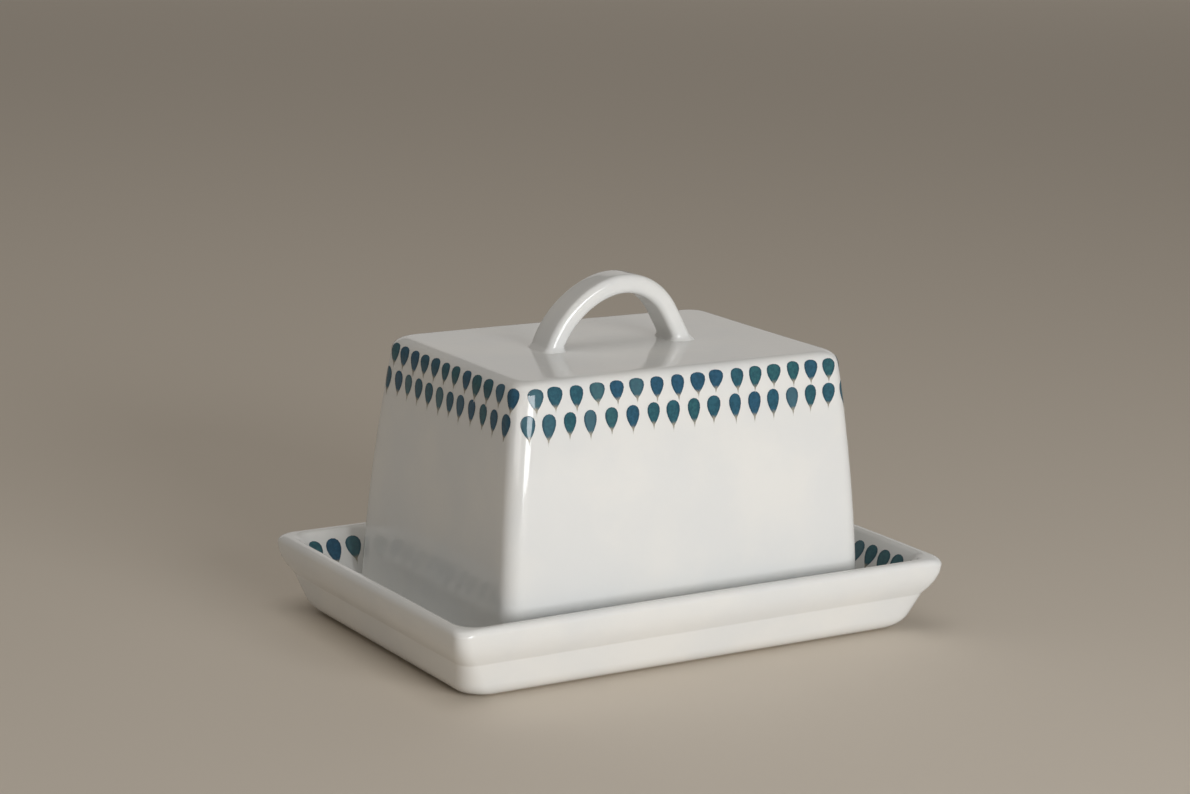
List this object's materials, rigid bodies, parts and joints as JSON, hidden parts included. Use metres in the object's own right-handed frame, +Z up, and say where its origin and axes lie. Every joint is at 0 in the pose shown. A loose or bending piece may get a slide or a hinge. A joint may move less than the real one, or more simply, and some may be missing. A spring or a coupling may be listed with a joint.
{
  "type": "butter dish",
  "caption": "Rectangular ceramic butter dish: a shallow tray with flared rim and a tall tapering lift-off cover with an arched strap handle, painted with rows of small drops.",
  "frame": {"origin": "centre of the dish's bounding box, on the plane of the foot ring that stands on the table", "axes": "+X along the dish's long side, +Y across it, +Z up towards the handle"},
  "size_m": [0.17, 0.1164, 0.1076],
  "materials": {
    "white_glaze": "glossy, slightly warm white",
    "drop_paint": "teal-blue underglaze brush drops under the same clear gloss",
    "bare_clay": "matt unglazed stoneware, wiped clean of glaze"
  },
  "bodies": {
    "dish": {"dish": "white_glaze"},
    "lid": {"lid_cover": "white_glaze", "lid_handle": "white_glaze"}
  },
  "joints": [
    {"name": "lid_lift", "type": "slide", "parent": "dish", "child": "lid", "axis": [0, 0, 1], "range_m": [0, 0.12]}
  ]
}
